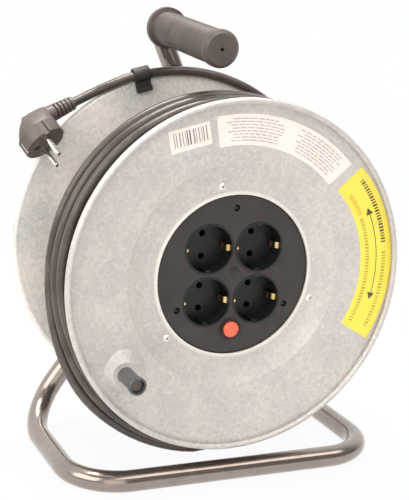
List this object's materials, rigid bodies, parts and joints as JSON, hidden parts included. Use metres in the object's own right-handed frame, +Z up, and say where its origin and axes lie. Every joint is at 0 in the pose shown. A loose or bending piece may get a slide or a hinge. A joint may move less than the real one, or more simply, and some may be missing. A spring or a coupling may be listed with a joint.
{
  "type": "extension cord reel",
  "caption": "Extension cord reel: sheet steel drum on a bent tube stand with grip, earthed sockets, crank knob, reset button, wound cord and parked plug.",
  "frame": {"origin": "on the floor, under the middle of the reel without its cord", "axes": "+X to the right seen from the sockets, +Y away from the sockets along the drum axle, +Z up"},
  "size_m": [0.3048, 0.2202, 0.3815],
  "materials": {
    "galvanised_sheet": "galvanised, satin",
    "zinc_fasteners": "zinc plated",
    "black_tube": "gloss black powder coat",
    "panel_plastic": "matt black",
    "cup_plastic": "satin black",
    "bush_plastic": "natural nylon",
    "knob_plastic": "satin grey",
    "button_plastic": "gloss red",
    "grip_rubber": "matt black, ribbed",
    "cord_rubber": "satin black",
    "plug_rubber": "matt black",
    "brass_contacts": "bright brass",
    "nickel_pins": "nickel plated"
  },
  "bodies": {
    "stand": {"frame_tube": "black_tube", "grip": "grip_rubber", "axle": "zinc_fasteners", "axle_boss": "black_tube", "rear_saddle": "black_tube", "axle_nut": "zinc_fasteners", "retaining_ring": "zinc_fasteners", "axle_washer": "zinc_fasteners", "thrust_washer": "bush_plastic"},
    "drum": {"front_flange": "galvanised_sheet", "rear_flange": "galvanised_sheet", "drum_barrel": "galvanised_sheet", "hub_disc": "galvanised_sheet", "front_rivets": "zinc_fasteners", "rear_rivets": "zinc_fasteners", "panel_screws": "zinc_fasteners", "knob_pin": "zinc_fasteners", "knob_nut": "zinc_fasteners", "button_spring": "zinc_fasteners", "socket_panel": "panel_plastic", "terminal_housing": "panel_plastic", "button_bezel": "panel_plastic", "thermal_cutout": "panel_plastic", "lead_gland": "panel_plastic", "cable_clip": "panel_plastic", "centre_cap": "cup_plastic", "socket_cup_1": "cup_plastic", "earth_contacts_1": "brass_contacts", "pin_contacts_1": "brass_contacts", "socket_cup_2": "cup_plastic", "earth_contacts_2": "brass_contacts", "pin_contacts_2": "brass_contacts", "socket_cup_3": "cup_plastic", "earth_contacts_3": "brass_contacts", "pin_contacts_3": "brass_contacts", "socket_cup_4": "cup_plastic", "earth_contacts_4": "brass_contacts", "pin_contacts_4": "brass_contacts", "front_bush": "bush_plastic", "rear_bush": "bush_plastic", "winding_core": "cord_rubber", "cord_winding": "cord_rubber", "cord_tail": "cord_rubber", "inner_lead": "cord_rubber", "plug_body": "plug_rubber", "strain_relief": "plug_rubber", "plug_pins": "nickel_pins", "plug_earth": "nickel_pins"},
    "button": {"reset_button": "button_plastic"},
    "knob": {"crank_knob": "knob_plastic"}
  },
  "joints": [
    {"name": "drum_spin", "type": "hinge", "parent": "stand", "child": "drum", "pos_m": [-0.00575, 0.01525, 0.1785], "axis": [0, -1, 0], "range_deg": [-36, 300]},
    {"name": "knob_spin", "type": "hinge", "parent": "drum", "child": "knob", "pos_m": [-0.09933, -0.09475, 0.10539], "axis": [0, -1, 0], "continuous": true},
    {"name": "button_press", "type": "slide", "parent": "drum", "child": "button", "axis": [0, 1, 0], "range_m": [0, 0.002], "stiffness_N_per_m": 500, "springref_m": -0.002, "deforming": ["button_spring"]}
  ]
}
